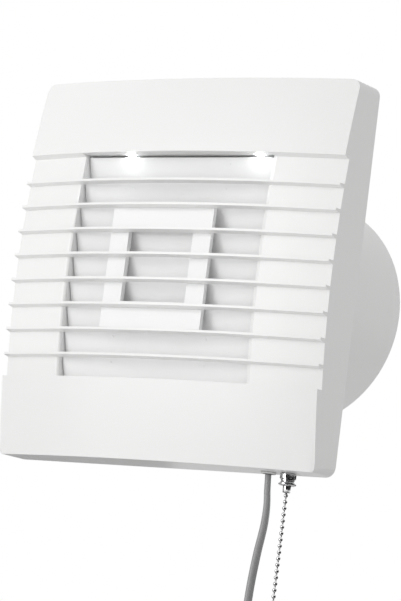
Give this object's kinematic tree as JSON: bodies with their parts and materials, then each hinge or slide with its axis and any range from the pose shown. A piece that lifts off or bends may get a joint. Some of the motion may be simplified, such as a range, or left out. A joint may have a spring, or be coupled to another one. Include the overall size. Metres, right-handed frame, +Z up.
{
  "type": "bathroom exhaust fan",
  "caption": "Square wall fan with a domed finned cover, hinged shutter blades, round duct collar, pull switch, lamps and mains lead.",
  "frame": {"origin": "the duct collar's axis in the plane of the wall", "axes": "+X right as seen from the room, +Z up, +Y into the wall along the duct; the finned front faces -Y"},
  "size_m": [0.1928, 0.1466, 0.4544],
  "materials": {
    "white_moulding": "smooth satin-gloss white moulding",
    "shutter_moulding": "smooth white moulding",
    "terminal_moulding": "satin white plastic",
    "tie_nylon": "natural nylon",
    "grey_moulding": "light grey plastic",
    "dark_moulding": "black plastic",
    "lead_sheath": "grey flexible sheath",
    "zinc_steel": "zinc-plated steel",
    "laminated_steel": "stacked electrical steel",
    "copper_winding": "enamelled copper wire",
    "chrome": "polished chrome plate",
    "lamp_lens": "clear lamp dome, lit",
    "lamp_board": "green circuit board"
  },
  "bodies": {
    "fan_body": {"front_cover": "white_moulding", "housing": "white_moulding", "motor_cap": "grey_moulding", "front_bearing": "laminated_steel", "rear_bearing": "laminated_steel", "stator": "laminated_steel", "winding": "copper_winding", "motor_screw_1": "zinc_steel", "motor_screw_2": "zinc_steel", "shutter_surround": "shutter_moulding", "surround_screw_1": "zinc_steel", "surround_screw_2": "zinc_steel", "surround_screw_3": "zinc_steel", "surround_screw_4": "zinc_steel", "actuator_body": "dark_moulding", "lamp_board": "lamp_board", "lamp_left": "lamp_lens", "lamp_right": "lamp_lens", "terminal_block": "terminal_moulding", "terminal_screw_1": "zinc_steel", "terminal_screw_2": "zinc_steel", "lead_clamp": "terminal_moulding", "clamp_screw": "zinc_steel", "switch_body": "dark_moulding", "switch_bushing": "chrome", "switch_nut": "chrome", "inner_lead": "lead_sheath", "lead_grommet": "terminal_moulding", "mains_lead": "lead_sheath", "mains_lead_coil": "lead_sheath", "mains_lead_tail": "lead_sheath", "coil_tie": "tie_nylon", "plug_body": "terminal_moulding", "plug_pin_1": "chrome", "plug_pin_2": "chrome"},
    "impeller_shaft": {"impeller": "grey_moulding", "impeller_clip": "zinc_steel", "shaft": "zinc_steel", "rotor": "laminated_steel"},
    "blade_1": {"shutter_blade_1": "shutter_moulding"},
    "blade_2": {"shutter_blade_2": "shutter_moulding"},
    "blade_3": {"shutter_blade_3": "shutter_moulding"},
    "blade_4": {"shutter_blade_4": "shutter_moulding"},
    "blade_5": {"shutter_blade_5": "shutter_moulding"},
    "blade_6": {"shutter_blade_6": "shutter_moulding"},
    "blade_7": {"shutter_blade_7": "shutter_moulding"},
    "blade_8": {"shutter_blade_8": "shutter_moulding"},
    "blade_9": {"shutter_blade_9": "shutter_moulding"},
    "link_frame": {"link_frame": "shutter_moulding"},
    "side_bar": {"shutter_side_bar": "shutter_moulding"},
    "plunger": {"actuator_plunger": "shutter_moulding"},
    "chain": {"pull_chain": "chrome", "chain_pull": "white_moulding"}
  },
  "joints": [
    {"name": "impeller_spin", "type": "hinge", "parent": "fan_body", "child": "impeller_shaft", "pos_m": [0, 0.015, 0], "axis": [0, 1, 0], "continuous": true},
    {"name": "shutter_swing", "type": "hinge", "parent": "fan_body", "child": "blade_5", "pos_m": [0, -0.0255, 0.00318], "axis": [1, 0, 0], "range_deg": [-6, 42]},
    {"name": "blade_1_swing", "type": "hinge", "parent": "fan_body", "child": "blade_1", "pos_m": [0, -0.02186, 0.055], "axis": [1, 0, 0], "range_deg": [-6, 42]},
    {"name": "blade_2_swing", "type": "hinge", "parent": "fan_body", "child": "blade_2", "pos_m": [0, -0.02334, 0.04204], "axis": [1, 0, 0], "range_deg": [-6, 42]},
    {"name": "blade_3_swing", "type": "hinge", "parent": "fan_body", "child": "blade_3", "pos_m": [0, -0.02444, 0.02909], "axis": [1, 0, 0], "range_deg": [-6, 42]},
    {"name": "blade_4_swing", "type": "hinge", "parent": "fan_body", "child": "blade_4", "pos_m": [0, -0.02516, 0.01613], "axis": [1, 0, 0], "range_deg": [-6, 42]},
    {"name": "blade_6_swing", "type": "hinge", "parent": "fan_body", "child": "blade_6", "pos_m": [0, -0.02546, -0.00978], "axis": [1, 0, 0], "range_deg": [-6, 42]},
    {"name": "blade_7_swing", "type": "hinge", "parent": "fan_body", "child": "blade_7", "pos_m": [0, -0.02504, -0.02274], "axis": [1, 0, 0], "range_deg": [-6, 42]},
    {"name": "blade_8_swing", "type": "hinge", "parent": "fan_body", "child": "blade_8", "pos_m": [0, -0.02425, -0.03569], "axis": [1, 0, 0], "range_deg": [-6, 42]},
    {"name": "blade_9_swing", "type": "hinge", "parent": "fan_body", "child": "blade_9", "pos_m": [0, -0.02307, -0.04865], "axis": [1, 0, 0], "range_deg": [-6, 42]},
    {"name": "link_frame_pivot", "type": "hinge", "parent": "blade_5", "child": "link_frame", "pos_m": [0, -0.0297, 0.00318], "axis": [1, 0, 0], "range_deg": [-42.1, 6.1]},
    {"name": "side_bar_pivot", "type": "hinge", "parent": "blade_5", "child": "side_bar", "pos_m": [0, -0.0205, 0.00318], "axis": [1, 0, 0], "range_deg": [-42.1, 6.1]},
    {"name": "plunger_slide", "type": "slide", "parent": "fan_body", "child": "plunger", "axis": [0, 0, 1], "range_m": [-0.0005, 0.0034]},
    {"name": "pull_switch", "type": "slide", "parent": "fan_body", "child": "chain", "axis": [0, 0, -1], "range_m": [0, 0.006], "stiffness_N_per_m": 300}
  ],
  "couplings": [
    {"joint": "blade_1_swing", "follows": "shutter_swing", "ratio": 1},
    {"joint": "blade_2_swing", "follows": "shutter_swing", "ratio": 1},
    {"joint": "blade_3_swing", "follows": "shutter_swing", "ratio": 1},
    {"joint": "blade_4_swing", "follows": "shutter_swing", "ratio": 1},
    {"joint": "blade_6_swing", "follows": "shutter_swing", "ratio": 1},
    {"joint": "blade_7_swing", "follows": "shutter_swing", "ratio": 1},
    {"joint": "blade_8_swing", "follows": "shutter_swing", "ratio": 1},
    {"joint": "blade_9_swing", "follows": "shutter_swing", "ratio": 1},
    {"joint": "link_frame_pivot", "follows": "shutter_swing", "ratio": -1},
    {"joint": "side_bar_pivot", "follows": "shutter_swing", "ratio": -1},
    {"joint": "plunger_slide", "follows": "shutter_swing", "m_per_rad": 0.0046}
  ]
}
